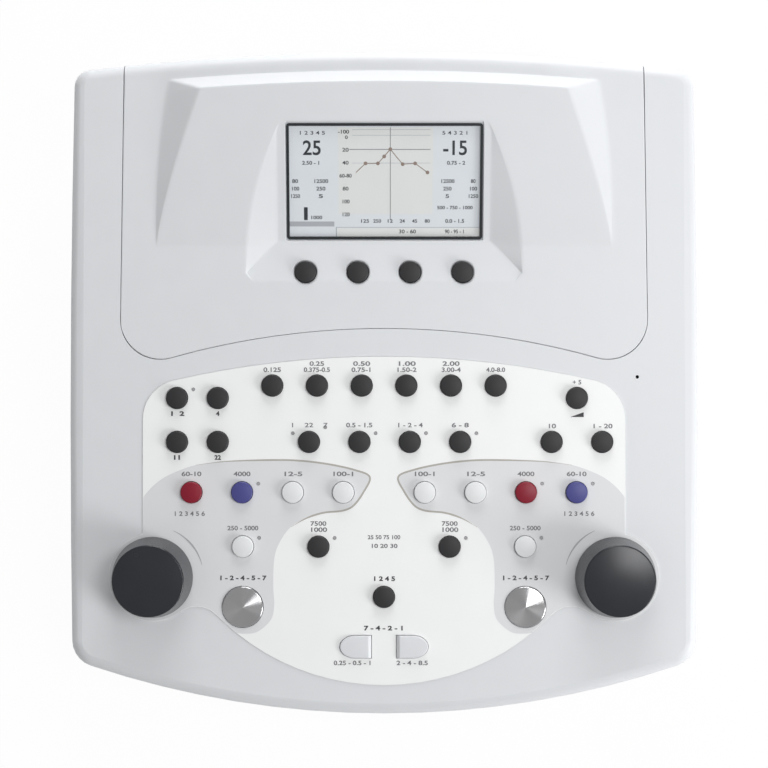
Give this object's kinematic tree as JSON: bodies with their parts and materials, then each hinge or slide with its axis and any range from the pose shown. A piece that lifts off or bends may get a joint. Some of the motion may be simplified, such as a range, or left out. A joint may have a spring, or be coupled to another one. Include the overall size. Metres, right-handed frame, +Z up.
{
  "type": "desktop audiometer",
  "caption": "Desktop hearing-test instrument: sloped grey case, raised display hump, white key panel, round keys, two large knobs and metal interrupter buttons.",
  "frame": {"origin": "middle of the footprint, on the table", "axes": "+Z up, +Y to the rear with the connectors, +X to the operator's right; the deck rises towards +Y"},
  "size_m": [0.32, 0.3352, 0.0901],
  "materials": {
    "case": "fine texture",
    "overlay": "satin",
    "window": "clear with a black border",
    "display": "lit screen",
    "board": "solder mask",
    "dark_parts": "matt",
    "lights": "smoked",
    "steel": "zinc plated",
    "rear_panel": "powder coat",
    "sockets": "plated",
    "rubber": "matt",
    "knob": "soft touch",
    "rocker": "smooth",
    "chrome": "spun and polished",
    "key_dark": "satin",
    "key_light": "satin",
    "key_red": "satin",
    "key_blue": "satin"
  },
  "bodies": {
    "case": {"bottom_case": "case", "top_case": "case", "display_cover": "case", "control_overlay": "overlay", "display_window": "window", "lcd_module": "display", "keypad_boards": "board", "key_switches": "dark_parts", "indicator_lights": "lights", "encoders": "steel", "main_board": "board", "rear_panel": "rear_panel", "phone_jacks": "dark_parts", "data_ports": "sockets", "monitor_speaker": "dark_parts", "feet": "rubber", "case_screws": "steel"},
    "soft_key_1": {"soft_key_1": "key_dark"},
    "soft_key_2": {"soft_key_2": "key_dark"},
    "soft_key_3": {"soft_key_3": "key_dark"},
    "soft_key_4": {"soft_key_4": "key_dark"},
    "top_key_1": {"top_key_1": "key_dark"},
    "top_key_2": {"top_key_2": "key_dark"},
    "top_key_3": {"top_key_3": "key_dark"},
    "top_key_4": {"top_key_4": "key_dark"},
    "top_key_5": {"top_key_5": "key_dark"},
    "top_key_6": {"top_key_6": "key_dark"},
    "preset_key_1": {"preset_key_1": "key_dark"},
    "preset_key_2": {"preset_key_2": "key_dark"},
    "preset_key_3": {"preset_key_3": "key_dark"},
    "preset_key_4": {"preset_key_4": "key_dark"},
    "mode_key_1": {"mode_key_1": "key_dark"},
    "mode_key_2": {"mode_key_2": "key_dark"},
    "mode_key_3": {"mode_key_3": "key_dark"},
    "mode_key_4": {"mode_key_4": "key_dark"},
    "level_key_1": {"level_key_1": "key_dark"},
    "level_key_2": {"level_key_2": "key_dark"},
    "level_key_3": {"level_key_3": "key_dark"},
    "left_channel_key_1": {"left_channel_key_1": "key_light"},
    "left_channel_key_2": {"left_channel_key_2": "key_light"},
    "left_channel_key_3": {"left_channel_key_3": "key_blue"},
    "left_channel_key_4": {"left_channel_key_4": "key_red"},
    "left_channel_key_5": {"left_channel_key_5": "key_light"},
    "right_channel_key_1": {"right_channel_key_1": "key_light"},
    "right_channel_key_2": {"right_channel_key_2": "key_light"},
    "right_channel_key_3": {"right_channel_key_3": "key_red"},
    "right_channel_key_4": {"right_channel_key_4": "key_blue"},
    "right_channel_key_5": {"right_channel_key_5": "key_light"},
    "talk_key_left": {"talk_key_left": "key_dark"},
    "talk_key_right": {"talk_key_right": "key_dark"},
    "store_key": {"store_key": "key_dark"},
    "interrupter_left": {"interrupter_left": "chrome"},
    "interrupter_right": {"interrupter_right": "chrome"},
    "frequency_key_left": {"frequency_key_left": "key_light"},
    "frequency_key_right": {"frequency_key_right": "key_light"},
    "knob_left": {"knob_left": "knob", "left_shaft": "steel"},
    "knob_right": {"knob_right": "knob", "right_shaft": "steel"},
    "power_rocker": {"power_rocker": "rocker"}
  },
  "joints": [
    {"name": "soft_key_1_press", "type": "slide", "parent": "case", "child": "soft_key_1", "axis": [0, 0.1392, -0.9903], "range_m": [0, 0.0011], "stiffness_N_per_m": 1200},
    {"name": "soft_key_2_press", "type": "slide", "parent": "case", "child": "soft_key_2", "axis": [0, 0.1392, -0.9903], "range_m": [0, 0.0011], "stiffness_N_per_m": 1200},
    {"name": "soft_key_3_press", "type": "slide", "parent": "case", "child": "soft_key_3", "axis": [0, 0.1392, -0.9903], "range_m": [0, 0.0011], "stiffness_N_per_m": 1200},
    {"name": "soft_key_4_press", "type": "slide", "parent": "case", "child": "soft_key_4", "axis": [0, 0.1392, -0.9903], "range_m": [0, 0.0011], "stiffness_N_per_m": 1200},
    {"name": "top_key_1_press", "type": "slide", "parent": "case", "child": "top_key_1", "axis": [0, 0.1392, -0.9903], "range_m": [0, 0.0011], "stiffness_N_per_m": 1200},
    {"name": "top_key_2_press", "type": "slide", "parent": "case", "child": "top_key_2", "axis": [0, 0.1392, -0.9903], "range_m": [0, 0.0011], "stiffness_N_per_m": 1200},
    {"name": "top_key_3_press", "type": "slide", "parent": "case", "child": "top_key_3", "axis": [0, 0.1392, -0.9903], "range_m": [0, 0.0011], "stiffness_N_per_m": 1200},
    {"name": "top_key_4_press", "type": "slide", "parent": "case", "child": "top_key_4", "axis": [0, 0.1392, -0.9903], "range_m": [0, 0.0011], "stiffness_N_per_m": 1200},
    {"name": "top_key_5_press", "type": "slide", "parent": "case", "child": "top_key_5", "axis": [0, 0.1392, -0.9903], "range_m": [0, 0.0011], "stiffness_N_per_m": 1200},
    {"name": "top_key_6_press", "type": "slide", "parent": "case", "child": "top_key_6", "axis": [0, 0.1392, -0.9903], "range_m": [0, 0.0011], "stiffness_N_per_m": 1200},
    {"name": "preset_key_1_press", "type": "slide", "parent": "case", "child": "preset_key_1", "axis": [0, 0.1392, -0.9903], "range_m": [0, 0.0011], "stiffness_N_per_m": 1200},
    {"name": "preset_key_2_press", "type": "slide", "parent": "case", "child": "preset_key_2", "axis": [0, 0.1392, -0.9903], "range_m": [0, 0.0011], "stiffness_N_per_m": 1200},
    {"name": "preset_key_3_press", "type": "slide", "parent": "case", "child": "preset_key_3", "axis": [0, 0.1392, -0.9903], "range_m": [0, 0.0011], "stiffness_N_per_m": 1200},
    {"name": "preset_key_4_press", "type": "slide", "parent": "case", "child": "preset_key_4", "axis": [0, 0.1392, -0.9903], "range_m": [0, 0.0011], "stiffness_N_per_m": 1200},
    {"name": "mode_key_1_press", "type": "slide", "parent": "case", "child": "mode_key_1", "axis": [0, 0.1392, -0.9903], "range_m": [0, 0.0011], "stiffness_N_per_m": 1200},
    {"name": "mode_key_2_press", "type": "slide", "parent": "case", "child": "mode_key_2", "axis": [0, 0.1392, -0.9903], "range_m": [0, 0.0011], "stiffness_N_per_m": 1200},
    {"name": "mode_key_3_press", "type": "slide", "parent": "case", "child": "mode_key_3", "axis": [0, 0.1392, -0.9903], "range_m": [0, 0.0011], "stiffness_N_per_m": 1200},
    {"name": "mode_key_4_press", "type": "slide", "parent": "case", "child": "mode_key_4", "axis": [0, 0.1392, -0.9903], "range_m": [0, 0.0011], "stiffness_N_per_m": 1200},
    {"name": "level_key_1_press", "type": "slide", "parent": "case", "child": "level_key_1", "axis": [0, 0.1392, -0.9903], "range_m": [0, 0.0011], "stiffness_N_per_m": 1200},
    {"name": "level_key_2_press", "type": "slide", "parent": "case", "child": "level_key_2", "axis": [0, 0.1392, -0.9903], "range_m": [0, 0.0011], "stiffness_N_per_m": 1200},
    {"name": "level_key_3_press", "type": "slide", "parent": "case", "child": "level_key_3", "axis": [0, 0.1392, -0.9903], "range_m": [0, 0.0011], "stiffness_N_per_m": 1200},
    {"name": "left_channel_key_1_press", "type": "slide", "parent": "case", "child": "left_channel_key_1", "axis": [0, 0.1392, -0.9903], "range_m": [0, 0.0011], "stiffness_N_per_m": 1200},
    {"name": "left_channel_key_2_press", "type": "slide", "parent": "case", "child": "left_channel_key_2", "axis": [0, 0.1392, -0.9903], "range_m": [0, 0.0011], "stiffness_N_per_m": 1200},
    {"name": "left_channel_key_3_press", "type": "slide", "parent": "case", "child": "left_channel_key_3", "axis": [0, 0.1392, -0.9903], "range_m": [0, 0.0011], "stiffness_N_per_m": 1200},
    {"name": "left_channel_key_4_press", "type": "slide", "parent": "case", "child": "left_channel_key_4", "axis": [0, 0.1392, -0.9903], "range_m": [0, 0.0011], "stiffness_N_per_m": 1200},
    {"name": "left_channel_key_5_press", "type": "slide", "parent": "case", "child": "left_channel_key_5", "axis": [0, 0.1392, -0.9903], "range_m": [0, 0.0011], "stiffness_N_per_m": 1200},
    {"name": "right_channel_key_1_press", "type": "slide", "parent": "case", "child": "right_channel_key_1", "axis": [0, 0.1392, -0.9903], "range_m": [0, 0.0011], "stiffness_N_per_m": 1200},
    {"name": "right_channel_key_2_press", "type": "slide", "parent": "case", "child": "right_channel_key_2", "axis": [0, 0.1392, -0.9903], "range_m": [0, 0.0011], "stiffness_N_per_m": 1200},
    {"name": "right_channel_key_3_press", "type": "slide", "parent": "case", "child": "right_channel_key_3", "axis": [0, 0.1392, -0.9903], "range_m": [0, 0.0011], "stiffness_N_per_m": 1200},
    {"name": "right_channel_key_4_press", "type": "slide", "parent": "case", "child": "right_channel_key_4", "axis": [0, 0.1392, -0.9903], "range_m": [0, 0.0011], "stiffness_N_per_m": 1200},
    {"name": "right_channel_key_5_press", "type": "slide", "parent": "case", "child": "right_channel_key_5", "axis": [0, 0.1392, -0.9903], "range_m": [0, 0.0011], "stiffness_N_per_m": 1200},
    {"name": "talk_key_left_press", "type": "slide", "parent": "case", "child": "talk_key_left", "axis": [0, 0.1392, -0.9903], "range_m": [0, 0.0011], "stiffness_N_per_m": 1200},
    {"name": "talk_key_right_press", "type": "slide", "parent": "case", "child": "talk_key_right", "axis": [0, 0.1392, -0.9903], "range_m": [0, 0.0011], "stiffness_N_per_m": 1200},
    {"name": "store_key_press", "type": "slide", "parent": "case", "child": "store_key", "axis": [0, 0.1392, -0.9903], "range_m": [0, 0.0011], "stiffness_N_per_m": 1200},
    {"name": "interrupter_left_press", "type": "slide", "parent": "case", "child": "interrupter_left", "axis": [0, 0.1392, -0.9903], "range_m": [0, 0.001], "stiffness_N_per_m": 1500},
    {"name": "interrupter_right_press", "type": "slide", "parent": "case", "child": "interrupter_right", "axis": [0, 0.1392, -0.9903], "range_m": [0, 0.001], "stiffness_N_per_m": 1500},
    {"name": "frequency_key_left_press", "type": "slide", "parent": "case", "child": "frequency_key_left", "axis": [0, 0.1392, -0.9903], "range_m": [0, 0.001], "stiffness_N_per_m": 1500},
    {"name": "frequency_key_right_press", "type": "slide", "parent": "case", "child": "frequency_key_right", "axis": [0, 0.1392, -0.9903], "range_m": [0, 0.001], "stiffness_N_per_m": 1500},
    {"name": "knob_left_turn", "type": "hinge", "parent": "case", "child": "knob_left", "pos_m": [-0.117, -0.09925, 0.0464], "axis": [0, -0.1392, 0.9903], "continuous": true},
    {"name": "knob_right_turn", "type": "hinge", "parent": "case", "child": "knob_right", "pos_m": [0.117, -0.09925, 0.0464], "axis": [0, -0.1392, 0.9903], "continuous": true},
    {"name": "power_rocker_tilt", "type": "hinge", "parent": "case", "child": "power_rocker", "pos_m": [0.074, 0.1435, 0.03], "axis": [0, 0, 1], "range_deg": [0, 14]}
  ]
}
